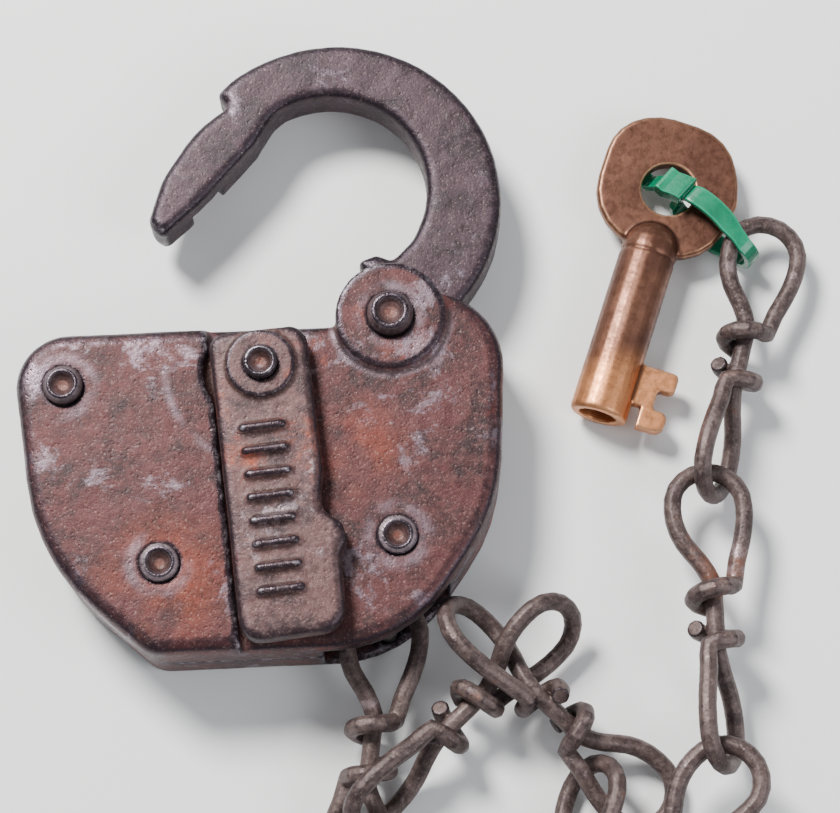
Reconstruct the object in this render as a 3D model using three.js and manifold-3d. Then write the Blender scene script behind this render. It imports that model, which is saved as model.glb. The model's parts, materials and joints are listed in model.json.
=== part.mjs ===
// Riveted steel railway-type padlock with its chain, its key and the tie that holds the key.
// Millimetres, +Z up. The lock lies on its back with its front face up, as if on a table:
// the origin is the middle of the flat back of the case, +Y points to the shackle side.
import * as THREE from 'three';
import { mergeVertices } from 'three/addons/utils/BufferGeometryUtils.js';
import Module from 'manifold-3d';

const wasm = await Module();
wasm.setup();

// ---- driving dimensions -------------------------------------------------------------------

const gap = 0.3; // air between pieces that touch in the real lock
const runGap = 0.5; // air round pieces that turn or slide

const caseWidth = 78;
const caseHeight = 52;
const caseThickness = 17.4; // back face to the lower front face
const caseMiddle = 2.3; // the case reaches this much further up than down from the origin
const wall = 2.2;
const caseEdge = 1.9; // rounding of the front edge
const backEdge = 1.0;
const seamHeight = 9.2;

const shoulderRise = 5.1; // how far the hinge side stands above the slot side
const stopRise = 1.4; // the raised half of the front that the drop rests against
const earRadius = 8.8;
const earRise = 0.9;

const shackleThickness = 8.6;
const shackleEdge = 1.4;
const archRadius = 27; // outside of the bar
const archInside = 16; // inside of the bar
const archThinner = 2.1; // the inside circle lies this much nearer to the toe
const archSide = 22.6; // hinge centre to the middle of the arch, with the shackle closed
const archRise = 5.1; // arch centre above the hinge's level
const toeWidth = 7.4;
const toeSwing = 42.5; // hinge centre to the middle of the toe
const toeReach = 22.6; // toe's tip below the hinge's level
const openAngle = 57;
const hingeInset = 17.8; // hinge centre in from the case's right side
const hubRadius = 8.2;
const notchDepth = 2.6;
const notchHeight = 6.4;
const notchDrop = 12; // middle of the notch below the hinge's level

const rivetShank = 2.3;
const rivetHead = 2.7;
const rivetBase = 3.2;
const rivetBore = 1.75;
const hingeRivetShank = 2.9;
const hingeRivetHead = 3.2;
const hingeRivetBase = 3.7;
const hingeRivetBore = 2.0;

const dropThickness = 3.4;
const dropFloat = 1.2; // air under the drop, so it swings over the low rivet head
const dropBoss = 5.4;
const dropLean = 4.7; // degrees that the drop leans from the case's upright
const dropLength = 43.5; // pivot to lower edge
const dropWidth = 15.6;
const dropCorner = 2.2; // rounding of its upper corner on the stop's side

const barrelRadius = 4.7;
const barrelBore = 3.1;
const keyReach = 40.5; // middle of the bow to the end of the barrel
const bowRadius = 12.0;
const bowHole = 4.5;
const bowThickness = 2.6;
const bitReach = 10.9;
const bitHeight = 10.4;
const bitThickness = 2.6;

const wire = 3.0; // chain wire
const linkLength = 16.8 * wire;
const loopRadius = 1.97 * wire; // middle of the wire round the end of a link
const wrapRadius = 1.1 * wire;

const tieWidth = 2.6;
const tieBand = 1.2;

// ---- places that follow from them ---------------------------------------------------------

const top = caseHeight / 2 + caseMiddle;
const bottom = top - caseHeight;
const left = -caseWidth / 2;
const right = caseWidth / 2;
const hinge = new THREE.Vector2(right - hingeInset, top + 0.9);
const shackleLow = (caseThickness - shackleThickness) / 2;
const shackleHigh = shackleLow + shackleThickness;
const earInner = shackleHigh + gap; // underside of the front ear
const dropPivot = new THREE.Vector2(hinge.x - 20.6, top - 7.4);
const dropUnder = caseThickness + dropFloat;
const dropAxis = new THREE.Vector2(
  Math.sin(THREE.MathUtils.degToRad(dropLean)),
  -Math.cos(THREE.MathUtils.degToRad(dropLean)),
);
const keyhole = dropPivot.clone().addScaledVector(dropAxis, 24.5);
const cavityTop = caseThickness - wall;
const boltTop = 8.6;
const leverThickness = 1.7;

// ---- materials ----------------------------------------------------------------------------

function material(color, roughness, metalness) {
  return new THREE.MeshStandardMaterial({ color, roughness, metalness });
}
const rustedSteel = () => material(0x76504a, 0.72, 0.45);
const shackleSteel = () => material(0x5d484c, 0.66, 0.5);
const wornSteel = () => material(0x6b5a5c, 0.6, 0.6);
const chainSteel = () => material(0x5f5352, 0.62, 0.55);
const innerSteel = () => material(0x6f6a66, 0.5, 0.7);
const springBrass = () => material(0x9a8148, 0.4, 0.8);
const keyBronze = () => material(0x8f6248, 0.36, 0.85);
const greenNylon = () => material(0x0a8f6c, 0.35, 0);

// ---- solids -------------------------------------------------------------------------------

function toSolid(geometry) {
  const plain = geometry.index ? geometry.toNonIndexed() : geometry.clone();
  plain.deleteAttribute('normal');
  plain.deleteAttribute('uv');
  const merged = mergeVertices(plain, 1e-5);
  return new wasm.Manifold(new wasm.Mesh({
    numProp: 3,
    vertProperties: new Float32Array(merged.attributes.position.array),
    triVerts: new Uint32Array(merged.index.array),
  }));
}

function toGeometry(solid) {
  const mesh = solid.getMesh();
  const geometry = new THREE.BufferGeometry();
  geometry.setAttribute('position', new THREE.BufferAttribute(mesh.vertProperties, 3));
  geometry.setIndex(new THREE.BufferAttribute(mesh.triVerts, 1));
  const flat = geometry.toNonIndexed();
  flat.computeVertexNormals();
  return flat;
}

const unite = (first, ...rest) => rest.reduce((all, next) => all.add(next), first);
const cut = (first, ...rest) => rest.reduce((left, next) => left.subtract(next), first);

function box(x0, x1, y0, y1, z0, z1) {
  const geometry = new THREE.BoxGeometry(x1 - x0, y1 - y0, z1 - z0);
  geometry.translate((x0 + x1) / 2, (y0 + y1) / 2, (z0 + z1) / 2);
  return toSolid(geometry);
}

function turnedBox(length, width, z0, z1, angle, x, y) {
  const geometry = new THREE.BoxGeometry(length, width, z1 - z0);
  geometry.translate(0, 0, (z0 + z1) / 2);
  geometry.rotateZ(THREE.MathUtils.degToRad(angle));
  geometry.translate(x, y, 0);
  return toSolid(geometry);
}

function disc(radius, z0, z1, x, y, sides = 32) {
  const geometry = new THREE.CylinderGeometry(radius, radius, z1 - z0, sides);
  geometry.rotateX(Math.PI / 2);
  geometry.translate(x, y, (z0 + z1) / 2);
  return toSolid(geometry);
}

// A closed outline of [x, y, corner radius] with every corner rounded.
function roundedPoints(corners, step = 14) {
  const points = [];
  corners.forEach(([x, y, radius], i) => {
    const corner = new THREE.Vector2(x, y);
    const before = corners[(i + corners.length - 1) % corners.length];
    const after = corners[(i + 1) % corners.length];
    const into = corner.clone().sub(new THREE.Vector2(before[0], before[1])).normalize();
    const out = new THREE.Vector2(after[0], after[1]).sub(corner).normalize();
    const turn = Math.atan2(into.cross(out), into.dot(out));
    const reach = radius * Math.tan(Math.abs(turn) / 2);
    const count = Math.max(1, Math.round(THREE.MathUtils.radToDeg(Math.abs(turn)) / step));
    const side = new THREE.Vector2(-into.y, into.x).multiplyScalar(Math.sign(turn) * radius);
    const centre = corner.clone().addScaledVector(into, -reach).add(side);
    for (let k = 0; k <= count; k++) {
      const spoke = side.clone().negate().rotateAround(new THREE.Vector2(), turn * k / count);
      points.push(centre.clone().add(spoke));
    }
  });
  return points;
}

// The same outline moved inwards; it runs anticlockwise.
function insetCorners(corners, distance) {
  return corners.map(([x, y, radius], i) => {
    const before = corners[(i + corners.length - 1) % corners.length];
    const after = corners[(i + 1) % corners.length];
    const into = new THREE.Vector2(x - before[0], y - before[1]).normalize();
    const out = new THREE.Vector2(after[0] - x, after[1] - y).normalize();
    const inward = new THREE.Vector2(-into.y - out.y, into.x + out.x);
    inward.multiplyScalar(distance / (1 + into.dot(out)));
    const convex = into.cross(out) > 0;
    return [x + inward.x, y + inward.y, Math.max(0.3, radius + (convex ? -distance : distance))];
  });
}

// Layers of the same outline, each at its own height, closed into one body.
function stack(layers) {
  const count = layers[0].points.length;
  const positions = [];
  layers.forEach(({ points, z }) => points.forEach((p) => positions.push(p.x, p.y, z)));
  const faces = [];
  THREE.ShapeUtils.triangulateShape(layers[0].points, []).forEach(([a, b, c]) => {
    faces.push(a, c, b);
  });
  for (let k = 0; k < layers.length - 1; k++) {
    for (let i = 0; i < count; i++) {
      const a = k * count + i;
      const b = k * count + (i + 1) % count;
      faces.push(a, b, b + count, a, b + count, a + count);
    }
  }
  const last = (layers.length - 1) * count;
  THREE.ShapeUtils.triangulateShape(layers[layers.length - 1].points, []).forEach((face) => {
    faces.push(...face.map((i) => i + last));
  });
  const geometry = new THREE.BufferGeometry();
  geometry.setAttribute('position', new THREE.Float32BufferAttribute(positions, 3));
  geometry.setIndex(faces);
  return toSolid(geometry);
}

// A flat plate from z0 to z1 with its corners rounded, and its upper and lower edges rounded
// by the given amounts. The corners run anticlockwise.
function plate(corners, z0, z1, { upper = 0, lower = 0, segments = 2, step = 14 } = {}) {
  const layers = [];
  const addLayer = (inset, z) => {
    layers.push({ points: roundedPoints(insetCorners(corners, inset), step), z });
  };
  for (let k = 0; lower > 0 && k < segments; k++) {
    const angle = Math.PI / 2 * k / segments;
    addLayer(lower * (1 - Math.sin(angle)), z0 + lower * (1 - Math.cos(angle)));
  }
  addLayer(0, z0 + lower);
  addLayer(0, z1 - upper);
  for (let k = 1; upper > 0 && k <= segments; k++) {
    const angle = Math.PI / 2 * k / segments;
    addLayer(upper * (1 - Math.cos(angle)), z1 - upper * (1 - Math.sin(angle)));
  }
  return stack(layers);
}

function lathe(profile, sides, x = 0, y = 0) {
  const points = profile.map(([radius, z]) => new THREE.Vector2(radius, z));
  const geometry = new THREE.LatheGeometry(points, sides);
  geometry.rotateX(Math.PI / 2);
  geometry.translate(x, y, 0);
  return toSolid(geometry);
}

function sweep(points, outline, steps, closed = false) {
  const path = new THREE.CatmullRomCurve3(points, closed, 'centripetal');
  const shape = new THREE.Shape(outline);
  return toSolid(new THREE.ExtrudeGeometry(shape, { steps, extrudePath: path }));
}

function roundSection(radius, sides) {
  return Array.from({ length: sides }, (_, i) => {
    const angle = 2 * Math.PI * i / sides;
    return new THREE.Vector2(radius * Math.cos(angle), radius * Math.sin(angle));
  });
}

const part = new THREE.Group();
part.name = 'chain_lock';

function addPiece(name, solid, finish) {
  const mesh = new THREE.Mesh(toGeometry(solid), finish);
  mesh.name = name;
  part.add(mesh);
  return mesh;
}

// ---- outlines -----------------------------------------------------------------------------

const shoulder = top + shoulderRise;
const lowerCorner = right - 0.225 * caseWidth;
const caseCorners = [
  [left - 0.4, top, 8.5],
  [left + 3.6, bottom + 0.3 * caseHeight, 32],
  [left + 0.27 * caseWidth, bottom, 5],
  [lowerCorner, bottom, 22],
  [right - 1.7, bottom + 0.41 * caseHeight, 30],
  [right + 0.8, shoulder, 12],
  [hinge.x + 3, shoulder, 0.3],
  [hinge.x, top, 0.3],
];
const cavityCorners = insetCorners(caseCorners, wall);

// ---- shackle ------------------------------------------------------------------------------

// Drawn closed, with the hinge centre at 0, 0.
const shoulderLine = top + runGap - hinge.y; // underside of the shoulder that caps the slot
const toeOuter = -(toeSwing + toeWidth / 2);
const toeInner = -(toeSwing - toeWidth / 2);
const toeRoot = toeInner + 0.8; // the toe's inner side leaves the arch here
const toeBelly = toeInner + 3.9; // and has come this far in where it starts to curve
const toeBellyDrop = 0.56 * toeReach;

// Corners of a polygon round an arc, each with nearly the arc's radius, and less at the ends of the run.
function arcCorners(x, y, radius, start, end, count) {
  const half = THREE.MathUtils.degToRad((end - start) / count / 2);
  return Array.from({ length: count }, (_, i) => {
    const angle = THREE.MathUtils.degToRad(start) + half * (2 * i + 1);
    const reach = radius / Math.cos(half);
    const share = i === 0 || i === count - 1 ? 0.45 : 0.97;
    return [x + reach * Math.cos(angle), y + reach * Math.sin(angle), share * radius];
  });
}

const outerEnd = 180 + THREE.MathUtils.radToDeg(Math.asin((archRise - shoulderLine) / archRadius));
const innerSide = -(archSide + archThinner);
const shackleCorners = [
  ...arcCorners(-archSide, archRise, archRadius, -7, outerEnd, 12),
  [-archSide - archRadius * Math.cos(THREE.MathUtils.degToRad(outerEnd - 180)), shoulderLine, 0.5],
  [toeOuter, shoulderLine, 0.3],
  [toeOuter + 0.2, -0.29 * toeReach, 16],
  [toeOuter + 4.0, -0.71 * toeReach, 14],
  [toeOuter + 9.4, -toeReach, 2.4],
  [toeInner + 5.2, -0.95 * toeReach, 1.2],
  [toeBelly, -toeBellyDrop, 20],
  [toeRoot, shoulderLine, 0.5],
  ...arcCorners(innerSide, archRise, archInside, 187, 14, 10),
  [innerSide + archInside - 0.2, 6.6, 0.6],
  [-11.2, 5.0, 0.8],
  [-12, 1.6, 0.8],
  [4, 1.6, 0.3],
];

function shackleSolid(grow) {
  const z0 = shackleLow - grow;
  const z1 = shackleHigh + grow;
  const bar = plate(insetCorners(shackleCorners, -grow), z0, z1,
    { upper: shackleEdge, lower: shackleEdge, step: 6 });
  return unite(bar, disc(hubRadius + grow, z0, z1, 0, 0, 36));
}

const notchPlace = new THREE.Vector2(
  THREE.MathUtils.lerp(toeRoot, toeBelly, notchDrop / toeBellyDrop),
  -notchDrop,
);

function restShackle(solid) {
  return solid.rotate([0, 0, -openAngle]).translate([hinge.x, hinge.y, 0]);
}

const shackleBody = cut(
  shackleSolid(0),
  disc(hingeRivetShank + gap, 0, caseThickness, 0, 0, 20),
  box(notchPlace.x - notchDepth, notchPlace.x + notchDepth, -notchDrop - notchHeight / 2,
    -notchDrop + notchHeight / 2, 0, boltTop + runGap),
);
addPiece('shackle', restShackle(shackleBody), shackleSteel());

// ---- rivets and posts ---------------------------------------------------------------------

const leftHalfShare = 0.72; // the lower rivet's place between the case's side and the drop
const caseRivets = {
  rivet_upper_left: new THREE.Vector2(left + 8.3, top - 8.8),
  rivet_lower_left: new THREE.Vector2(
    THREE.MathUtils.lerp(left, dropPivot.x - dropWidth / 2, leftHalfShare),
    bottom + 14.3,
  ),
  rivet_lower_right: new THREE.Vector2(right - 18.1, bottom + 17.4),
};
const lowHead = 0.9;
const tallHead = 1.9;
const tailFlare = 0.9;

function rivetSolid(shank, head, base, bore, seat, height, place) {
  const rim = seat + height;
  return lathe([
    [0, 0],
    [shank + tailFlare, 0],
    [shank, tailFlare],
    [shank, seat + gap],
    [base, seat + gap],
    [base, seat + gap + 0.25 * height],
    [head, rim - 0.2 * height],
    [head - 0.35, rim],
    [bore + 0.2, rim],
    [bore - 0.3, rim - 0.8],
    [0.55 * bore, rim - 1.2],
    [0, rim - 1.3],
  ], 28, place.x, place.y);
}

function rivetHole(shank, place, z1 = caseThickness + 4) {
  return lathe([
    [0, -1],
    [shank + tailFlare + gap + 1, -1],
    [shank + gap, tailFlare],
    [shank + gap, z1],
    [0, z1],
  ], 20, place.x, place.y);
}

const raisedFace = caseThickness + stopRise;
const earFace = caseThickness + earRise;

Object.entries(caseRivets).forEach(([name, place]) => {
  const onRaised = name !== 'rivet_lower_right';
  const seat = onRaised ? raisedFace : caseThickness;
  const height = name === 'rivet_upper_left' ? tallHead : lowHead;
  const solid = rivetSolid(rivetShank, rivetHead, rivetBase, rivetBore, seat, height, place);
  addPiece(name, solid, wornSteel());
});
addPiece('shackle_rivet', rivetSolid(
  hingeRivetShank, hingeRivetHead, hingeRivetBase, hingeRivetBore, earFace, 2.6, hinge,
), wornSteel());

const leverPivot = new THREE.Vector2(right - 12.5, keyhole.y + 14.6);
const postRadius = 2.0;
addPiece('lever_post', lathe([
  [0, 0],
  [postRadius + tailFlare, 0],
  [postRadius, tailFlare],
  [postRadius, wall + gap],
  [postRadius + 1.6, wall + gap],
  [postRadius + 1.6, boltTop],
  [postRadius, boltTop],
  [postRadius, cavityTop - gap],
  [0, cavityTop - gap],
], 16, leverPivot.x, leverPivot.y), innerSteel());

const keyPostRadius = barrelBore - 0.45;
addPiece('key_post', lathe([
  [0, wall + gap],
  [keyPostRadius + tailFlare, wall + gap],
  [keyPostRadius, wall + gap + tailFlare],
  [keyPostRadius, cavityTop - 3],
  [keyPostRadius - 0.8, cavityTop - 2],
  [0, cavityTop - 2],
], 16, keyhole.x, keyhole.y), innerSteel());

const pinRadius = 0.55 * wire;
const pinPlace = new THREE.Vector2(lowerCorner - 2.85, bottom + 4.9);
addPiece('chain_pin', lathe([
  [0, 0],
  [pinRadius + tailFlare, 0],
  [pinRadius, tailFlare],
  [pinRadius, cavityTop - gap],
  [0, cavityTop - gap],
], 14, pinPlace.x, pinPlace.y), innerSteel());

// ---- bolt, levers and springs -------------------------------------------------------------

// The bolt slides along X between the back plate and the levers, into the toe's notch.
const boltTravel = 3.2;
const boltHeight = notchHeight - 2 * runGap;
const boltY = hinge.y + notchPlace.y;
const boltNose = hinge.x + notchPlace.x + boltTravel + 0.6 - notchDepth;
const boltTail = leverPivot.x - postRadius - 3.4;
const boltLow = wall + gap;
const boltOutline = [
  [boltNose, boltY + boltHeight / 2, 0.4],
  [boltNose, boltY - boltHeight / 2, 1.2],
  [keyhole.x - 4.6, boltY - boltHeight / 2, 0.4],
  [keyhole.x - 4.6, keyhole.y + bitReach - 2.2, 0.4],
  [keyhole.x - 1.9, keyhole.y + bitReach - 2.2, 0.4],
  [keyhole.x - 1.9, boltY - boltHeight / 2, 0.4],
  [boltTail, boltY - boltHeight / 2, 0.4],
  [boltTail, boltY + boltHeight / 2, 0.4],
];
addPiece('bolt', plate(boltOutline, boltLow, boltTop, { step: 30 }), innerSteel());

// The bolt spring: a bowed strip between the bolt's tail and a fold against the case's side.
const springThickness = 0.6;
const boltSpringEnd = right - wall - 4.2;
const springLow = boltLow + 1;
const springHigh = boltTop - 1;
const springLine = [
  new THREE.Vector3(boltTail + 0.6, boltY + 2.2, 0),
  new THREE.Vector3(boltTail + 0.7, boltY - 3.0, 0),
  new THREE.Vector3(boltTail + 0.8, leverPivot.y - 1.5, 0),
  new THREE.Vector3(boltTail + 4.4, leverPivot.y - 6.6, 0),
  new THREE.Vector3(boltSpringEnd, leverPivot.y - 7.8, 0),
];
function stripSolid(points, thickness, z0, z1) {
  const curve = new THREE.CatmullRomCurve3(points, false, 'centripetal');
  const steps = 14;
  const sides = [[], []];
  for (let i = 0; i <= steps; i++) {
    const point = curve.getPoint(i / steps);
    const along = curve.getTangent(i / steps);
    [1, -1].forEach((sign, k) => {
      const offset = sign * thickness / 2;
      sides[k].push(new THREE.Vector2(point.x - along.y * offset, point.y + along.x * offset));
    });
  }
  const outline = [...sides[1], ...sides[0].reverse()];
  return stack([{ points: outline, z: z0 }, { points: outline, z: z1 }]);
}
addPiece('bolt_spring', stripSolid(springLine, springThickness, springLow, springHigh),
  springBrass());

// Two levers, one above the other on their post, each with a strip spring staked in it.
const leverEnd = keyhole.x - 6.2;
function leverSolid(z0, belly) {
  const arm = plate([
    [leverPivot.x + 3.6, leverPivot.y + 3.4, 2.8],
    [leverEnd, leverPivot.y + 1.8, 1.4],
    [leverEnd, keyhole.y + bitReach - belly, 0.8],
    [keyhole.x + 5.5, keyhole.y + bitReach - belly, 1.5],
    [leverPivot.x - 7, leverPivot.y - 4.2, 4],
    [leverPivot.x + 3.6, leverPivot.y - 4.0, 3],
  ], z0, z0 + leverThickness, { step: 20 });
  const bore = disc(postRadius + gap, z0 - 1, z0 + leverThickness + 1,
    leverPivot.x, leverPivot.y, 20);
  const gate = box(leverEnd + 2.4, leverEnd + 5.2, leverPivot.y - 3.2, leverPivot.y - 0.6,
    z0 - 1, z0 + leverThickness + 1);
  return cut(arm, bore, gate);
}
['lower', 'upper'].forEach((name, i) => {
  const z0 = boltTop + gap + i * (leverThickness + gap);
  addPiece(`lever_${name}`, leverSolid(z0, 2.4 + 0.5 * i), innerSteel());
  const root = new THREE.Vector3(leverPivot.x - 7.4, leverPivot.y + 3.2 + gap, 0);
  const line = [
    root,
    new THREE.Vector3(root.x + 3.2, root.y + 0.5, 0),
    new THREE.Vector3(root.x + 7.4, root.y + 2.0, 0),
    new THREE.Vector3(root.x + 10.6, root.y + 4.6, 0),
  ];
  const strip = stripSolid(line, springThickness, z0 + gap, z0 + leverThickness - gap);
  addPiece(`lever_spring_${name}`, strip, springBrass());
});

// ---- case ---------------------------------------------------------------------------------

const toeSlotInner = hinge.x + toeInner + 3.2;
const toeSlotOuter = hinge.x + toeOuter - 0.9;
const chainMouthHalf = loopRadius + wire / 2 + 2.6;
const openShackle = restShackle(shackleSolid(runGap));
const commonCuts = [
  disc(hubRadius + 1.1, shackleLow - gap, shackleHigh + gap, hinge.x, hinge.y, 36),
  openShackle,
  box(toeSlotOuter, toeSlotInner, top - wall - 3, top + 9, shackleLow - runGap,
    shackleHigh + runGap),
  box(pinPlace.x - chainMouthHalf, pinPlace.x + chainMouthHalf, bottom - 5, bottom + 11,
    wall + gap, cavityTop - 0.8),
  ...Object.values(caseRivets).map((place) => rivetHole(rivetShank, place)),
  rivetHole(hingeRivetShank, hinge),
  rivetHole(postRadius, leverPivot, cavityTop),
  rivetHole(pinRadius, pinPlace, cavityTop),
];

const backEar = disc(earRadius, 0, shackleLow - gap, hinge.x, hinge.y, 40);
const backBody = plate(caseCorners, 0, seamHeight - gap / 2,
  { lower: backEdge, segments: 1, step: 9 });
const backCavity = plate(cavityCorners, wall, caseThickness, { step: 16 }).subtract(backEar);
addPiece('back_shell', cut(unite(backBody, backEar), backCavity, ...commonCuts), rustedSteel());

const stopAngle = 90 - THREE.MathUtils.radToDeg(Math.atan2(dropAxis.x, -dropAxis.y));
// How far the drop's upper corner reaches from its pivot, with room to turn.
const dropSwing = Math.hypot(dropWidth / 2 - dropCorner, dropBoss - dropCorner) + dropCorner + runGap;
const stopEdge = dropPivot.clone().add(new THREE.Vector2(-dropWidth / 2 - gap, 0));
const leftHalf = toSolid(new THREE.BoxGeometry(200, 200, 60))
  .translate([-100, 0, 0])
  .rotate([0, 0, 90 - stopAngle])
  .translate([stopEdge.x, stopEdge.y, 0]);
const frontEar = disc(earRadius, earInner, earFace, hinge.x, hinge.y, 40);
const frontBody = plate(caseCorners, seamHeight + gap / 2, caseThickness,
  { upper: caseEdge, step: 9 });
const raised = plate(caseCorners, seamHeight + gap / 2, raisedFace,
  { upper: caseEdge, step: 9 })
  .intersect(leftHalf)
  .subtract(disc(dropSwing, caseThickness, raisedFace + 1, dropPivot.x, dropPivot.y, 48));
const frontCavity = plate(cavityCorners, 0, cavityTop, { step: 16 }).subtract(frontEar);
const dropRivetShank = 2.2;
const keyway = unite(
  disc(barrelRadius + 0.4, cavityTop - 1, caseThickness + 1, keyhole.x, keyhole.y, 28),
  turnedBox(bitReach + 0.4, bitThickness + 0.7, cavityTop - 1, caseThickness + 1,
    90 + dropLean,
    keyhole.x + dropAxis.x * (bitReach + 0.4) / 2,
    keyhole.y + dropAxis.y * (bitReach + 0.4) / 2),
);
addPiece('front_shell', cut(
  unite(frontBody, raised, frontEar),
  frontCavity,
  keyway,
  disc(dropRivetShank + gap, cavityTop - 1, caseThickness + 1, dropPivot.x, dropPivot.y, 20),
  ...commonCuts,
), rustedSteel());

// ---- keyhole drop -------------------------------------------------------------------------

// Drawn hanging straight down from its pivot at 0, 0.
const dropCorners = [
  [0.2, 6.7, 30],
  [-dropWidth / 2, dropBoss, dropCorner],
  [-dropWidth / 2, -dropLength, 3.2],
  [8.6, -dropLength + 0.4, 3.8],
  [8.9, -31.6, 2],
  [10.2, -29.4, 1.5],
  [9.6, -26.4, 1.2],
  [6.5, -24.0, 3],
  [7.8, -17.5, 4],
  [7.6, dropBoss, 2.8],
];
const dropTop = dropUnder + dropThickness;
const ribs = Array.from({ length: 8 }, (_, i) => {
  const bar = new THREE.CapsuleGeometry(0.8, 6, 2, 8);
  bar.rotateZ(Math.PI / 2);
  bar.translate(-0.8, -10 - 3.7 * i, dropTop);
  return toSolid(bar);
});
const dropSolid = cut(
  unite(
    plate(dropCorners, dropUnder, dropTop, { upper: 1.1, step: 22 }),
    disc(dropBoss, caseThickness + gap, dropTop + 0.7, 0, 0, 32),
    ...ribs,
  ),
  disc(dropRivetShank + gap, 0, dropTop + 5, 0, 0, 20),
);
addPiece('key_drop', dropSolid.rotate([0, 0, dropLean]).translate([dropPivot.x, dropPivot.y, 0]),
  shackleSteel());
addPiece('drop_rivet', lathe([
  [0, cavityTop - 1.3],
  [dropRivetShank + 0.9, cavityTop - 1.3],
  [dropRivetShank + 0.9, cavityTop - gap],
  [dropRivetShank, cavityTop - gap],
  [dropRivetShank, dropTop + 0.7 + gap],
  [rivetHead, dropTop + 0.7 + gap],
  [rivetHead, dropTop + 1.9],
  [rivetHead - 0.35, dropTop + 2.3],
  [rivetBore + 0.2, dropTop + 2.3],
  [rivetBore - 0.3, dropTop + 1.5],
  [0.55 * rivetBore, dropTop + 1.1],
  [0, dropTop + 1.0],
], 28, dropPivot.x, dropPivot.y), wornSteel());

// ---- chain --------------------------------------------------------------------------------

// Half of a link along +X: out from the waist, round the end loop and back to the waist,
// where the wire's end is wrapped round the straight middle.
function halfLink() {
  const loopCentre = (linkLength - wire) / 2 - loopRadius;
  const points = [
    [0.9 * wire, 0, 0],
    [1.75 * wire, 0.02 * wire, 0],
    [2.75 * wire, 0.5 * wire, 0],
    [4.1 * wire, 1.5 * wire, 0],
  ];
  [104, 62, 21, -21, -62, -104].forEach((degrees) => {
    const angle = THREE.MathUtils.degToRad(degrees);
    points.push([
      loopCentre + loopRadius * Math.cos(angle),
      loopRadius * Math.sin(angle),
      0,
    ]);
  });
  points.push([4.1 * wire, -1.68 * wire, 0], [2.8 * wire, -1.3 * wire, 0]);
  const turns = 6;
  for (let i = 0; i <= turns; i++) {
    const angle = THREE.MathUtils.degToRad(290 * i / turns);
    const x = 1.65 * wire - 1.08 * wire * i / turns;
    points.push([x, -wrapRadius * Math.cos(angle), wrapRadius * Math.sin(angle)]);
  }
  return points.map((p) => new THREE.Vector3(...p));
}

function linkSolid(twistStart, twistEnd) {
  const xAxis = new THREE.Vector3(1, 0, 0);
  const zAxis = new THREE.Vector3(0, 0, 1);
  const toEnd = halfLink().map((p) =>
    p.applyAxisAngle(xAxis, THREE.MathUtils.degToRad(twistEnd)));
  const toStart = halfLink().map((p) =>
    p.applyAxisAngle(zAxis, Math.PI).applyAxisAngle(xAxis, THREE.MathUtils.degToRad(twistStart)));
  return sweep([...toStart.reverse(), ...toEnd], roundSection(wire / 2, 8), 72);
}

// How the chain lies: the near tip of each link, in wire diameters from the chain pin and up
// from the table, its heading and pitch in degrees, and the lean of its two loops.
const lay = [
  { x: 0.2, y: 1.8, z: 2.5, heading: -99, pitch: -2.9, lean: [-2, 14] },
  { x: -2.5, y: -10.5, z: 2.5, heading: 42, pitch: 1, lean: [65, 50] },
  { x: 2.85, y: 0.8, z: 4.35, heading: -45, pitch: -12, lean: [126, -7] },
  { x: 11.15, y: -7.2, z: 2, heading: -112, pitch: 1.4, lean: [53, 26] },
  { x: 6.05, y: -18.25, z: 2.25, heading: 40, pitch: 5.7, lean: [68, -9] },
  { x: 17.1, y: -8.75, z: 3.5, heading: 89, pitch: -3.2, lean: [62, 2] },
  { x: 17.3, y: 5.85, z: 2.6, heading: 73, pitch: -2.5, lean: [64, 5] },
];

function restLink(solid, place) {
  return solid
    .translate([linkLength / 2, 0, 0])
    .rotate([0, -place.pitch, 0])
    .rotate([0, 0, place.heading])
    .translate([pinPlace.x + place.x * wire, pinPlace.y + place.y * wire, place.z * wire]);
}
lay.forEach((place, i) => {
  const solid = restLink(linkSolid(place.lean[0], place.lean[1]), place);
  addPiece(`link_${i + 1}`, solid, chainSteel());
});

// ---- key and tie --------------------------------------------------------------------------

const lastLink = lay[lay.length - 1];
const keyTurn = -20.4; // degrees, from barrel straight down
const keyAxisHeight = barrelRadius;

// The tie holds the last link's near leg here, and the key's bow is one tie's reach away.
const tieTurn = -44;
const tieFar = bowRadius + wire + 3.6;
const tieHold = new THREE.Vector2(
  pinPlace.x + (lastLink.x + 3.06) * wire,
  pinPlace.y + (lastLink.y + 14.22) * wire,
);
const tieHeading = THREE.MathUtils.degToRad(tieTurn);
const bowPlace = tieHold.clone().addScaledVector(
  new THREE.Vector2(Math.cos(tieHeading), Math.sin(tieHeading)),
  -(tieFar - tieBand - wire / 2),
);

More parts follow.
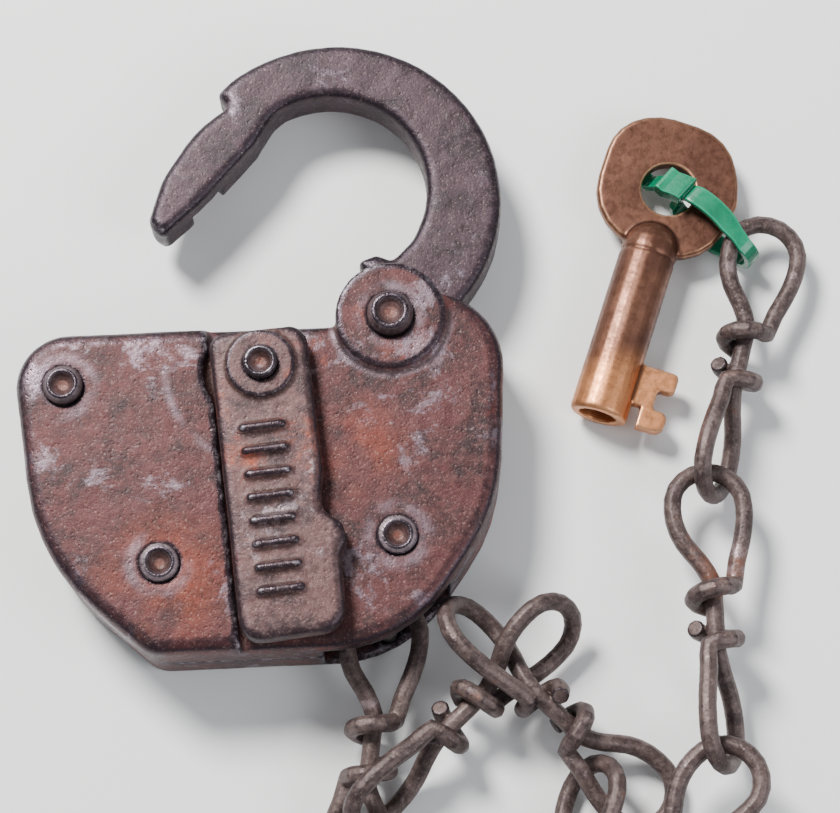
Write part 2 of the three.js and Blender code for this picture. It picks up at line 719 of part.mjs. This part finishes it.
function keySolid() {
  const bowLow = -bowThickness / 2;
  const bow = plate([
    [-bowRadius * 0.98, bowRadius * 0.75, 8],
    [-bowRadius * 0.98, -bowRadius * 0.8, 10],
    [bowRadius * 0.72, -bowRadius * 1.02, 9],
    [bowRadius * 1.02, bowRadius * 0.1, 10],
    [bowRadius * 0.62, bowRadius * 1.02, 9],
    [-bowRadius * 0.4, bowRadius * 1.04, 10],
  ], bowLow, -bowLow, { upper: 0.5, lower: 0.5, segments: 1, step: 18 });
  const domeLine = -(bowHole + 1.6 + barrelRadius);
  const profile = [
    [0, -keyReach + 24],
    [barrelBore, -keyReach + 23],
    [barrelBore, -keyReach],
    [barrelRadius - 0.4, -keyReach],
    [barrelRadius, -keyReach + 0.5],
    [barrelRadius, domeLine - 1.6],
    [barrelRadius - 0.2, domeLine - 1.4],
    [barrelRadius - 0.2, domeLine - 1.1],
    [barrelRadius, domeLine - 0.9],
    ...[0, 18, 36, 54, 72, 90].map((degrees) => {
      const angle = THREE.MathUtils.degToRad(degrees);
      return [barrelRadius * Math.cos(angle), domeLine + barrelRadius * Math.sin(angle)];
    }),
  ];
  profile[profile.length - 1][0] = 0;
  const turned = new THREE.LatheGeometry(
    profile.map(([radius, y]) => new THREE.Vector2(radius, y)), 24);
  const barrel = toSolid(turned);
  const bitTop = -keyReach + bitHeight;
  const bit = plate([
    [barrelRadius - 0.9, -keyReach, 0.3],
    [bitReach, -keyReach, 1.6],
    [bitReach, -keyReach + 3.6, 1.2],
    [8.2, -keyReach + 3.6, 0.4],
    [8.2, -keyReach + 6.9, 0.4],
    [bitReach, -keyReach + 6.9, 0.9],
    [bitReach, bitTop, 0.9],
    [barrelRadius - 0.9, bitTop, 0.3],
  ], -bitThickness / 2, bitThickness / 2, { step: 30 });
  const web = box(barrelRadius + 0.05, 6.3, -keyReach - 1, -keyReach + 3.6, -3, 3);
  const eye = disc(bowHole, -9, 9, 0, 0, 28);
  return cut(unite(bow.subtract(eye), barrel, bit), web);
}
addPiece('key', keySolid()
  .rotate([0, 0, keyTurn])
  .translate([bowPlace.x, bowPlace.y, keyAxisHeight]), keyBronze());

// The tie: a flat band through the bow's eye and round the near leg of the last link, with
// its head over the eye and its cut tail under the bow.
const tieLow = 1.0;
const legHeight = lastLink.z * wire
  + linkLength * Math.sin(THREE.MathUtils.degToRad(lastLink.pitch));
const tieHigh = Math.max(
  keyAxisHeight + bowThickness / 2 + 3.2,
  legHeight + wire / 2 + tieBand + 0.9,
);
const tieNear = 1.6;
const tailReach = 8.5;
function tieSolid() {
  const half = (tieHigh - tieLow) / 2;
  const outline = [
    [tieNear, tieLow, half * 0.8],
    [tieFar, tieLow, half * 0.95],
    [tieFar, tieHigh, half * 0.95],
    [tieNear, tieHigh, half * 0.8],
  ];
  const ring = plate(outline, -tieWidth / 2, tieWidth / 2, { step: 20 })
    .subtract(plate(insetCorners(outline, tieBand), -tieWidth, tieWidth, { step: 20 }));
  const head = plate([
    [tieNear - 3.2, tieHigh - 2.4, 0.5],
    [tieNear + 1.4, tieHigh - 2.4, 0.5],
    [tieNear + 1.4, tieHigh + 0.7, 0.5],
    [tieNear - 3.2, tieHigh + 0.7, 0.5],
  ], -2.2, 2.2, { step: 45 });
  const underBow = keyAxisHeight - bowThickness / 2 - gap;
  const tail = plate([
    [-tailReach, underBow - 0.3, 0.2],
    [-tailReach, underBow - 1.4, 0.2],
    [-3.3, underBow - 1.4, 0.6],
    [-0.2, tieHigh - 1.8, 0.2],
    [-1.6, tieHigh - 1.8, 0.2],
    [-3.9, underBow - 0.3, 0.4],
  ], -tieWidth / 2, tieWidth / 2, { step: 30 });
  return unite(ring, head, tail).rotate([90, 0, 0]);
}
addPiece('cable_tie', tieSolid()
  .rotate([0, 0, tieTurn])
  .translate([bowPlace.x, bowPlace.y, 0]), greenNylon());

export default part;
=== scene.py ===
# Looks of an old riveted railway-type padlock with its chain, key and green tie.
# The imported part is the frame: every piece here copies or follows one of its nodes.
import json
import math

import bmesh
import bpy
import numpy as np
from mathutils import Matrix, Vector


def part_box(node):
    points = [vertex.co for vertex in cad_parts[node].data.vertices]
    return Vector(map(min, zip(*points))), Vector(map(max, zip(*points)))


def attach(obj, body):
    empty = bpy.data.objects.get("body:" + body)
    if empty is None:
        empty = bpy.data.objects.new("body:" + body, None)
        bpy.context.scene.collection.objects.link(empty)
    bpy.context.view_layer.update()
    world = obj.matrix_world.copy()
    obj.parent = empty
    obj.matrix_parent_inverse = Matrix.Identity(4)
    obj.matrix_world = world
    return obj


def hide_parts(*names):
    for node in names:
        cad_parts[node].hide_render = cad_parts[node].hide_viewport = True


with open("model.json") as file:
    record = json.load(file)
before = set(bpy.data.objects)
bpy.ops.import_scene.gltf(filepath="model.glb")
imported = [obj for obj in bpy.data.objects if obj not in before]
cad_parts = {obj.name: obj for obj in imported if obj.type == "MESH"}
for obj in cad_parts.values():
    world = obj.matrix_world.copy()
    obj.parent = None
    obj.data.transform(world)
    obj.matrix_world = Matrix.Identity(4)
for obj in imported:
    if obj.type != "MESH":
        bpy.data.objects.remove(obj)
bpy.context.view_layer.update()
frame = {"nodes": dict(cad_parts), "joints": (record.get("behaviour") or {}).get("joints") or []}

MM = 0.001

# ---- camera, light and floor ---------------------------------------------------------------

TARGET = Vector((24.625, 19.707, 0.0)) * MM
DISTANCE = 412 * MM
ELEVATION = math.radians(75.5)
TURN = math.radians(-2.5)
FOCAL_PIXELS = 2500
FRAME_WIDTH = 840
SENSOR = 36
FLOOR_REACH = 2.0
FLOOR_LEVEL = -0.05 * MM
FLOOR_TONE = 0.87


def add_object(name, data):
    obj = bpy.data.objects.new(name, data)
    bpy.context.scene.collection.objects.link(obj)
    return obj


def make_camera():
    data = bpy.data.cameras.new("camera")
    data.sensor_width = SENSOR
    data.lens = FOCAL_PIXELS / FRAME_WIDTH * SENSOR
    data.clip_start = 0.01
    camera = add_object("camera", data)
    back = Vector((0, -math.cos(ELEVATION), math.sin(ELEVATION))) * DISTANCE
    camera.location = Matrix.Rotation(TURN, 3, "Z") @ (TARGET + back)
    camera.rotation_euler = (math.pi / 2 - ELEVATION, 0, TURN)
    bpy.context.scene.camera = camera


def make_light(name, place, aim, size, power, color=(1, 1, 1)):
    data = bpy.data.lights.new(name, "AREA")
    data.shape = "DISK"
    data.size = size
    data.energy = power
    data.color = color
    light = add_object(name, data)
    light.location = place
    light.rotation_euler = (Vector(aim) - Vector(place)).to_track_quat("-Z", "Y").to_euler()


def make_world(color, strength):
    world = bpy.data.worlds.new("studio")
    world.use_nodes = True
    background = world.node_tree.nodes["Background"]
    background.inputs["Color"].default_value = (*color, 1)
    background.inputs["Strength"].default_value = strength
    bpy.context.scene.world = world


def make_floor():
    mesh = bpy.data.meshes.new("floor")
    reach = FLOOR_REACH
    low = FLOOR_LEVEL
    mesh.from_pydata(
        [(-reach, -reach, low), (reach, -reach, low), (reach, reach, low), (-reach, reach, low)],
        [],
        [(0, 1, 2, 3)],
    )
    floor = add_object("floor", mesh)
    paint = bpy.data.materials.new("floor_paint")
    paint.use_nodes = True
    shader = paint.node_tree.nodes["Principled BSDF"]
    shader.inputs["Base Color"].default_value = (FLOOR_TONE, FLOOR_TONE, FLOOR_TONE, 1)
    shader.inputs["Roughness"].default_value = 0.9
    mesh.materials.append(paint)


make_camera()
make_world((0.93, 0.96, 1.0), 0.44)
make_light("key_light", place=(-0.26, 0.40, 0.60), aim=(0.02, 0.02, 0), size=0.24, power=13.0,
           color=(1, 0.985, 0.96))
make_light("fill_light", place=(0.55, -0.25, 0.5), aim=(0.02, 0, 0), size=0.4, power=2.6,
           color=(0.93, 0.96, 1))
make_floor()

# ---- numbers on meshes ---------------------------------------------------------------------


def lattice_value(cell, seed):
    """A repeatable number from 0 to 1 for each whole-number cell."""
    mixed = cell[:, 0] * 374761393 + cell[:, 1] * 668265263 + cell[:, 2] * 1440662683
    mixed = (mixed + seed * 974634777) & 0xFFFFFFFF
    mixed = ((mixed ^ (mixed >> 13)) * 1274126177) & 0xFFFFFFFF
    return ((mixed ^ (mixed >> 16)) & 0xFFFF) / 65535.0


def value_noise(points, seed):
    cell = np.floor(points).astype(np.int64)
    part = points - cell
    part = part * part * (3 - 2 * part)
    total = np.zeros(len(points))
    for corner in range(8):
        offset = np.array([corner & 1, corner >> 1 & 1, corner >> 2 & 1])
        weight = np.prod(np.where(offset, part, 1 - part), axis=1)
        total += weight * lattice_value(cell + offset, seed)
    return total * 2 - 1


def layered_noise(points, size, octaves, seed):
    """Noise from -1 to 1 whose largest lumps are about size across, in millimetres."""
    total = np.zeros(len(points))
    reach = 0.0
    for k in range(octaves):
        share = 0.5 ** k
        total += share * value_noise(points * (2 ** k / size) + 17.3 * k, seed + k)
        reach += share
    return total / reach


def read_points(mesh):
    points = np.empty(len(mesh.vertices) * 3, np.float32)
    mesh.vertices.foreach_get("co", points)
    return points.reshape(-1, 3).astype(float)


def write_points(mesh, points):
    mesh.vertices.foreach_set("co", points.astype(np.float32).ravel())
    mesh.update()


def read_normals(mesh):
    normals = np.empty(len(mesh.vertices) * 3, np.float32)
    mesh.vertex_normals.foreach_get("vector", normals)
    return normals.reshape(-1, 3).astype(float)


def read_edges(mesh):
    edges = np.empty(len(mesh.edges) * 2, np.int32)
    mesh.edges.foreach_get("vertices", edges)
    return edges.reshape(-1, 2)


def neighbour_mean(values, edges):
    """The mean of each vertex's neighbours, for a number or a vector on each vertex."""
    count = len(values)
    first, second = edges[:, 0], edges[:, 1]
    number = np.bincount(first, minlength=count) + np.bincount(second, minlength=count)
    columns = values.reshape(count, -1)
    out = np.empty_like(columns)
    for k in range(columns.shape[1]):
        total = np.bincount(first, columns[second, k], count)
        total += np.bincount(second, columns[first, k], count)
        out[:, k] = total / np.maximum(number, 1)
    return out.reshape(values.shape)


def relax(points, edges, rounds, pull=0.5):
    for _ in range(rounds):
        points = points + pull * (neighbour_mean(points, edges) - points)
    return points


def store(mesh, name, values):
    layer = mesh.attributes.new(name, "FLOAT", "POINT")
    layer.data.foreach_set("value", np.clip(values, 0, 1).astype(np.float32))


def smooth_step(low, high, values):
    t = np.clip((values - low) / (high - low), 0, 1)
    return t * t * (3 - 2 * t)


# ---- worn copies of CAD nodes --------------------------------------------------------------

EDGE_GAIN = 14  # how strongly a bulge in the mesh counts as an edge
DENT_SIZE = 13
GRAIN_SIZE = 1.9
WELD = 0.001


def worn_copy(node, body, material, voxel, dent, grain, seed, rounds=4, marks=None,
              sharpen=1.0, grow=0.0, bend=None):
    """A close mesh of a CAD node with rounded edges and an uneven, pitted surface.

    Lengths are in millimetres: voxel is the mesh's cell, dent and grain are how far the wide and
    the fine unevenness reach, and grow moves the whole surface out. marks are fields from 0 to 1
    that the material reads by name, and bend moves the finished points.
    """
    mesh = frame["nodes"][node].data.copy()
    mesh.transform(Matrix.Scale(1 / MM, 4))
    welded = bmesh.new()
    welded.from_mesh(mesh)
    bmesh.ops.remove_doubles(welded, verts=welded.verts, dist=WELD)
    welded.to_mesh(mesh)
    welded.free()
    draft = add_object("draft", mesh)
    cells = draft.modifiers.new("cells", "REMESH")
    cells.mode = "VOXEL"
    cells.voxel_size = voxel
    cells.adaptivity = 0
    graph = bpy.context.evaluated_depsgraph_get()
    fine = bpy.data.meshes.new_from_object(draft.evaluated_get(graph))
    bpy.data.objects.remove(draft)
    edges = read_edges(fine)
    points = relax(read_points(fine), edges, rounds)
    write_points(fine, points)
    normals = read_normals(fine)
    bulge = np.einsum("ij,ij->i", normals, points - neighbour_mean(points, edges)) / voxel
    for _ in range(3):
        bulge = 0.5 * bulge + 0.5 * neighbour_mean(bulge, edges)
    store(fine, "edge", bulge * EDGE_GAIN * sharpen)
    store(fine, "dent", -bulge * EDGE_GAIN * sharpen)
    shift = dent * layered_noise(points, DENT_SIZE, 3, seed)
    shift += grain * layered_noise(points, GRAIN_SIZE, 3, seed + 9)
    shifted = points + normals * (shift + grow)[:, None]
    write_points(fine, bend(shifted) if bend else shifted)
    for mark, field in (marks or {}).items():
        store(fine, mark, field(points))
    fine.transform(Matrix.Scale(MM, 4))
    fine.polygons.foreach_set("use_smooth", [True] * len(fine.polygons))
    fine.materials.clear()
    fine.materials.append(material)
    piece = add_object(f"{node}_worn", fine)
    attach(piece, body)
    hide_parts(node)


# ---- materials -----------------------------------------------------------------------------


def rgb(red, green, blue):
    """A colour on the shader's scale from its usual 0 to 255 values."""
    def linear(value):
        share = value / 255
        return share / 12.92 if share <= 0.04045 else ((share + 0.055) / 1.055) ** 2.4
    return (linear(red), linear(green), linear(blue), 1.0)


class Paint:
    """A procedural material; lengths are in millimetres on the piece."""

    def __init__(self, name):
        self.material = bpy.data.materials.new(name)
        self.material.use_nodes = True
        self.tree = self.material.node_tree
        self.shader = self.tree.nodes["Principled BSDF"]
        place = self.tree.nodes.new("ShaderNodeTexCoord")
        scaled = self.tree.nodes.new("ShaderNodeVectorMath")
        scaled.operation = "SCALE"
        scaled.inputs["Scale"].default_value = 1 / MM
        self.tree.links.new(place.outputs["Object"], scaled.inputs[0])
        self.place = scaled.outputs[0]

    def link(self, value, socket):
        if isinstance(value, bpy.types.NodeSocket):
            self.tree.links.new(value, socket)
        else:
            socket.default_value = value

    def noise(self, size, detail=4.0, roughness=0.6, twist=0.0, shift=0.0):
        moved = self.tree.nodes.new("ShaderNodeVectorMath")
        moved.operation = "ADD"
        moved.inputs[1].default_value = (shift, -shift, 0.5 * shift)
        self.tree.links.new(self.place, moved.inputs[0])
        node = self.tree.nodes.new("ShaderNodeTexNoise")
        node.inputs["Scale"].default_value = 1 / size
        node.inputs["Detail"].default_value = detail
        node.inputs["Roughness"].default_value = roughness
        node.inputs["Distortion"].default_value = twist
        self.tree.links.new(moved.outputs[0], node.inputs["Vector"])
        return node.outputs[0]

    def cells(self, size):
        node = self.tree.nodes.new("ShaderNodeTexVoronoi")
        node.inputs["Scale"].default_value = 1 / size
        self.tree.links.new(self.place, node.inputs["Vector"])
        return node.outputs["Distance"]

    def mark(self, name):
        node = self.tree.nodes.new("ShaderNodeAttribute")
        node.attribute_name = name
        return node.outputs["Fac"]

    def span(self, value, low, high, start=0.0, end=1.0):
        node = self.tree.nodes.new("ShaderNodeMapRange")
        node.interpolation_type = "SMOOTHSTEP"
        self.link(value, node.inputs["Value"])
        node.inputs["From Min"].default_value = low
        node.inputs["From Max"].default_value = high
        node.inputs["To Min"].default_value = start
        node.inputs["To Max"].default_value = end
        return node.outputs["Result"]

    def sum(self, operation, first, second):
        node = self.tree.nodes.new("ShaderNodeMath")
        node.operation = operation
        self.link(first, node.inputs[0])
        self.link(second, node.inputs[1])
        return node.outputs[0]

    def times(self, first, second):
        return self.sum("MULTIPLY", first, second)

    def plus(self, first, second):
        return self.sum("ADD", first, second)

    def blend(self, share, under, over):
        node = self.tree.nodes.new("ShaderNodeMix")
        node.data_type = "RGBA"
        self.link(share, node.inputs["Factor"])
        self.link(under, node.inputs["A"])
        self.link(over, node.inputs["B"])
        return node.outputs["Result"]

    def finish(self, color, roughness, metallic, height, depth, strength, gloss=0.3):
        self.shader.inputs["Specular IOR Level"].default_value = gloss
        self.link(color, self.shader.inputs["Base Color"])
        self.link(roughness, self.shader.inputs["Roughness"])
        self.link(metallic, self.shader.inputs["Metallic"])
        bump = self.tree.nodes.new("ShaderNodeBump")
        bump.inputs["Strength"].default_value = strength
        bump.inputs["Distance"].default_value = depth * MM
        self.link(height, bump.inputs["Height"])
        self.tree.links.new(bump.outputs["Normal"], self.shader.inputs["Normal"])
        return self.material


def rusted_steel(name, dark, middle, pale, worn, rust, worn_cover, rust_cover, shift=0.0,
                 edge_tone=(46, 40, 48)):
    """Old brown steel: mottled scale, worn grey-pink patches, orange rust and dark edges.

    worn_cover and rust_cover say how much of the surface is rubbed bare or rusty, and shift
    moves the pattern so that no two steels share it.
    """
    paint = Paint(name)
    large = paint.noise(22, 5, 0.62, 0.5, shift)
    medium = paint.noise(6.5, 6, 0.7, 0.3, shift + 40)
    small = paint.noise(1.4, 5, 0.75, 0.0, shift + 80)
    speck = paint.noise(0.42, 3, 0.7, 0.0, shift + 120)
    color = paint.blend(paint.span(medium, 0.36, 0.6), rgb(*dark), rgb(*middle))
    color = paint.blend(paint.span(small, 0.45, 0.75, 0, 0.75), color, rgb(*pale))
    rusty = paint.plus(paint.times(large, 0.55), paint.times(medium, 0.45))
    rusty = paint.span(rusty, 0.62 - rust_cover, 0.72 - rust_cover, 0, 0.75)
    rusty = paint.plus(rusty, paint.mark("rusty"))
    rusty = paint.times(rusty, paint.span(small, 0.25, 0.62, 0.35, 1))
    color = paint.blend(rusty, color, rgb(*rust))
    patch = paint.noise(13, 7, 0.74, 0.3, shift + 200)
    bare = paint.plus(paint.span(patch, 0.64 - worn_cover, 0.72 - worn_cover), paint.mark("bare"))
    bare = paint.times(bare, paint.span(small, 0.3, 0.5, 0.3, 1))
    color = paint.blend(paint.times(bare, 0.7), color, rgb(*worn))
    edge = paint.mark("edge")
    edge_share = paint.times(paint.span(edge, 0.14, 0.55), paint.span(medium, 0.3, 0.55, 0.55, 1))
    color = paint.blend(paint.times(edge_share, 0.85), color, rgb(*edge_tone))
    # Painted highlight: pale grey glints on the sharpest edges stand in for light catching them.
    glint = paint.times(paint.span(edge, 0.7, 1.0), paint.span(small, 0.45, 0.65))
    color = paint.blend(paint.times(glint, 0.6), color, rgb(160, 154, 162))
    color = paint.blend(paint.span(paint.mark("dent"), 0.1, 0.8, 0, 0.8), color, rgb(48, 33, 29))
    color = paint.blend(paint.span(speck, 0.56, 0.7, 0, 0.65), color, rgb(40, 30, 31))
    color = paint.blend(paint.span(speck, 0.42, 0.3, 0, 0.28), color, rgb(178, 150, 142))
    roughness = paint.plus(paint.span(small, 0.3, 0.7, 0.38, 0.62), paint.times(bare, -0.1))
    roughness = paint.plus(roughness, paint.times(edge_share, -0.14))
    metallic = paint.plus(paint.times(bare, 0.2), paint.plus(paint.times(edge_share, 0.3), 0.42))
    height = paint.plus(paint.times(small, 0.6), paint.times(speck, 0.4))
    height = paint.plus(height, paint.times(paint.span(paint.cells(1.1), 0.05, 0.3), 0.25))
    return paint.finish(color, roughness, metallic, height, depth=0.15, strength=0.85, gloss=0.45)


def key_metal():
    """Bronze rubbed by pockets, darker in the hollows and fresher on the bit."""
    paint = Paint("key_bronze_worn")
    large = paint.noise(14, 5, 0.6, 0.4)
    small = paint.noise(1.3, 5, 0.7, 0.0, 30)
    speck = paint.noise(0.45, 3, 0.7, 0.0, 60)
    color = paint.blend(paint.span(large, 0.35, 0.65), rgb(94, 62, 50), rgb(128, 88, 70))
    color = paint.blend(paint.span(small, 0.5, 0.75, 0, 0.6), color, rgb(84, 56, 46))
    color = paint.blend(paint.times(paint.mark("fresh"), 0.85), color, rgb(206, 138, 92))
    color = paint.blend(paint.span(paint.mark("edge"), 0.3, 1.0, 0, 0.6), color, rgb(204, 156, 120))
    color = paint.blend(paint.span(paint.mark("dent"), 0.1, 0.8, 0, 0.85), color, rgb(58, 36, 28))
    color = paint.blend(paint.span(speck, 0.58, 0.7, 0, 0.6), color, rgb(70, 46, 40))
    roughness = paint.span(small, 0.3, 0.7, 0.3, 0.5)
    height = paint.plus(paint.times(small, 0.6), paint.times(speck, 0.4))
    return paint.finish(color, roughness, 0.8, height, depth=0.07, strength=0.7, gloss=0.5)


def tie_plastic():
    """Glossy green nylon, a little paler along its edges."""
    paint = Paint("tie_nylon_green")
    cloud = paint.noise(5, 3, 0.5)
    speck = paint.noise(0.5, 3, 0.6, 0, 30)
    color = paint.blend(paint.span(cloud, 0.3, 0.7), rgb(0, 98, 68), rgb(0, 126, 90))
    color = paint.blend(paint.span(paint.mark("edge"), 0.3, 1.0, 0, 0.3), color, rgb(30, 170, 130))
    roughness = paint.span(speck, 0.3, 0.7, 0.22, 0.34)
    return paint.finish(color, roughness, 0.0, speck, depth=0.02, strength=0.5, gloss=0.5)


def inner_metal(name, dark, pale, metallic):
    """Parts inside the case: oiled, scratched and dusty."""
    paint = Paint(name)
    cloud = paint.noise(4, 5, 0.65, 0.5)
    small = paint.noise(0.8, 4, 0.7, 0, 30)
    color = paint.blend(paint.span(cloud, 0.3, 0.7), rgb(*dark), rgb(*pale))
    color = paint.blend(paint.span(small, 0.55, 0.75, 0, 0.5), color, rgb(70, 48, 38))
    roughness = paint.span(small, 0.3, 0.7, 0.35, 0.6)
    return paint.finish(color, roughness, metallic, small, depth=0.05, strength=0.6)


CASE_STEEL = rusted_steel(
    "case_rusted_steel", dark=(42, 24, 26), middle=(76, 38, 38), pale=(108, 68, 66),
    worn=(122, 108, 118), rust=(140, 58, 27), worn_cover=0.1, rust_cover=0.04,
)
SHACKLE_STEEL = rusted_steel(
    "shackle_dark_steel", dark=(36, 26, 31), middle=(59, 42, 49), pale=(88, 70, 79),
    worn=(108, 97, 107), rust=(104, 50, 32), worn_cover=0.04, rust_cover=0.02, shift=300,
)
DROP_STEEL = rusted_steel(
    "drop_dark_steel", dark=(52, 36, 38), middle=(90, 63, 62), pale=(124, 98, 96),
    worn=(132, 118, 124), rust=(146, 64, 34), worn_cover=0.05, rust_cover=0.07, shift=500,
)
RIVET_STEEL = rusted_steel(
    "rivet_worn_steel", dark=(54, 42, 46), middle=(84, 68, 70), pale=(116, 98, 102),
    worn=(140, 128, 136), rust=(112, 54, 28), worn_cover=0.06, rust_cover=0.04, shift=700,
)
CHAIN_STEEL = rusted_steel(
    "chain_wire_steel", dark=(58, 46, 45), middle=(90, 75, 72), pale=(126, 108, 105),
    worn=(156, 138, 140), rust=(130, 74, 46), worn_cover=0.06, rust_cover=0.05, shift=900,
)
KEY_METAL = key_metal()
TIE_PLASTIC = tie_plastic()
INNER_STEEL = inner_metal("inner_oiled_steel", dark=(74, 70, 68), pale=(128, 122, 118),
                          metallic=0.7)
SPRING_BRASS = inner_metal("spring_dull_brass", dark=(120, 96, 52), pale=(176, 146, 84),
                           metallic=0.8)

# ---- the lock ------------------------------------------------------------------------------

NODE_BOX = {name: (np.array(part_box(name)[0]) / MM, np.array(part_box(name)[1]) / MM)
            for name in frame["nodes"]}
JOINTS = {joint["name"]: joint for joint in frame["joints"]}
HINGE = np.array(JOINTS["shackle_hinge"]["pos_m"][:2]) / MM
DROP_PIVOT = np.array(JOINTS["drop_swing"]["pos_m"][:2]) / MM
CASE_RIVETS = ["rivet_upper_left", "rivet_lower_left", "rivet_lower_right"]
RUBBED_RING = 4.6  # radius of the rubbed ring round a rivet
EAR_RING = 9.6  # just outside the ear
DROP_RING = 15.2  # the arc that the drop has rubbed
DISH_RADIUS = 1.75
HINGE_DISH_RADIUS = 2.0


def middle(node):
    """The middle of a node's box, seen from above."""
    low, high = NODE_BOX[node]
    return (low + high)[:2] / 2


def distance_to(points, place):
    return np.hypot(points[:, 0] - place[0], points[:, 1] - place[1])


def ring(points, place, radius, width):
    """1 on a circle seen from above, fading to 0 at width from it."""
    return 1 - smooth_step(0, width, abs(distance_to(points, place) - radius))


def spot(points, place, radius):
    """1 at a place seen from above, fading to 0 at radius from it."""
    return 1 - smooth_step(0, radius, distance_to(points, place))


def on_front(points):
    """1 on the case's front face, 0 on its sides and back."""
    return smooth_step(15, 17, points[:, 2])


def case_bare(points):
    """Rubbed rings round the rivets and below the ear, and the arc that the drop has rubbed."""
    rubbed = sum(ring(points, middle(name), RUBBED_RING, 1.7) for name in CASE_RIVETS)
    ear = ring(points, HINGE, EAR_RING, 0.9) * smooth_step(2, -3, points[:, 1] - HINGE[1])
    near_hinge = ring(points, HINGE, RUBBED_RING, 1.6)
    arc = ring(points, DROP_PIVOT, DROP_RING, 1.0)
    arc = arc * smooth_step(2, -4, points[:, 0] - DROP_PIVOT[0])
    arc = arc * smooth_step(8, 2, points[:, 1] - DROP_PIVOT[1])
    speckle = smooth_step(-0.3, 0.3, layered_noise(points, 4, 4, 31))
    return on_front(points) * (0.75 * (rubbed + near_hinge + arc) * speckle + 0.95 * ear)


def case_rusty(points):
    """Orange rust below the hinge rivet, beside the drop and towards the case's lower left."""
    below_ear = spot(points, HINGE + [2, -5.5], 6)
    beside_drop = spot(points, DROP_PIVOT + [14, -13], 11)
    lower_left = spot(points, DROP_PIVOT + [-16, -33], 15)
    speckle = smooth_step(-0.35, 0.35, layered_noise(points, 5, 4, 47))
    return on_front(points) * speckle * 0.6 * (below_ear + beside_drop + lower_left)


def dished(place, radius):
    """Rust lying in the dish of a rivet's head, and a rubbed rim round it."""
    def rusty(points):
        return 0.7 * spot(points, place, radius * 1.2)

    def bare(points):
        return 0.8 * ring(points, place, radius + 0.6, 0.8)

    return {"rusty": rusty, "bare": bare}


def keep_node(name, material):
    """Keeps a CAD node's own mesh and gives it a material."""
    materials = frame["nodes"][name].data.materials
    materials.clear()
    materials.append(material)


worn_copy("front_shell", "case", CASE_STEEL, voxel=0.4, dent=0.10, grain=0.05,
          seed=3, marks={"bare": case_bare, "rusty": case_rusty})
worn_copy("back_shell", "case", CASE_STEEL, voxel=0.42, dent=0.10, grain=0.05,
          seed=5)
worn_copy("shackle", "shackle", SHACKLE_STEEL, voxel=0.34, rounds=6, dent=0.12,
          grain=0.07, seed=7)
worn_copy("key_drop", "drop", DROP_STEEL, voxel=0.26, rounds=5, dent=0.08,
          grain=0.06, seed=11)
for count, name in enumerate([*CASE_RIVETS, "shackle_rivet", "drop_rivet"]):
    dish = HINGE_DISH_RADIUS if name == "shackle_rivet" else DISH_RADIUS
    worn_copy(name, "case", RIVET_STEEL, voxel=0.13, dent=0.04, grain=0.04,
              seed=20 + count, marks=dished(middle(name), dish))

for name in ["bolt", "lever_lower", "lever_upper", "lever_post", "key_post", "chain_pin"]:
    keep_node(name, INNER_STEEL)
for name in ["bolt_spring", "lever_spring_lower", "lever_spring_upper"]:
    keep_node(name, SPRING_BRASS)

# ---- key and tie ---------------------------------------------------------------------------

KEY_END = NODE_BOX["key"][0][1]  # the barrel's end, the key's lowest place on Y
TIE_LOW, TIE_HIGH = NODE_BOX["cable_tie"]
TIE_MIDDLE = (TIE_LOW[2] + TIE_HIGH[2]) / 2
EYE = np.array(JOINTS["key_swing"]["pos_m"][:2]) / MM
LEG = np.array(JOINTS["tie_swing"]["pos_m"][:2]) / MM


def key_fresh(points):
    """The bit and the barrel's end are rubbed to a fresher colour."""
    return 1 - smooth_step(KEY_END + 8, KEY_END + 15, points[:, 1])


def bow_tie_band(points):
    """The band's upper strand bows to the upper right and its lower strand the other way."""
    along = (LEG - EYE) / np.linalg.norm(LEG - EYE)
    across = np.array([-along[1], along[0]])
    share = np.clip((points[:, :2] - EYE) @ along / np.linalg.norm(LEG - EYE), 0, 1)
    side = (points[:, :2] - EYE) @ across
    arch = np.sin(np.pi * share ** 0.9)
    upper = smooth_step(-1, 1, points[:, 2] - TIE_MIDDLE)
    widened = 0.3 * side * smooth_step(0.12, 0.3, share) * smooth_step(0.9, 0.7, share)
    outward = widened + arch * (2.3 * upper - 0.9)
    bent = points.copy()
    bent[:, :2] += outward[:, None] * across
    bent[:, 2] += 0.5 * arch * upper
    return bent


worn_copy("key", "key", KEY_METAL, voxel=0.22, dent=0.05, grain=0.02, seed=41,
          marks={"fresh": key_fresh})
worn_copy("cable_tie", "tie", TIE_PLASTIC, voxel=0.13, rounds=3, dent=0.02,
          grain=0.0, seed=43, bend=bow_tie_band)

# ---- chain ---------------------------------------------------------------------------------

LINKS = 7

for number in range(1, LINKS + 1):
    worn_copy(f"link_{number}", f"link_{number}", CHAIN_STEEL, voxel=0.2, rounds=8,
              dent=0.03, grain=0.03, seed=60 + number, sharpen=0.5, grow=0.02)
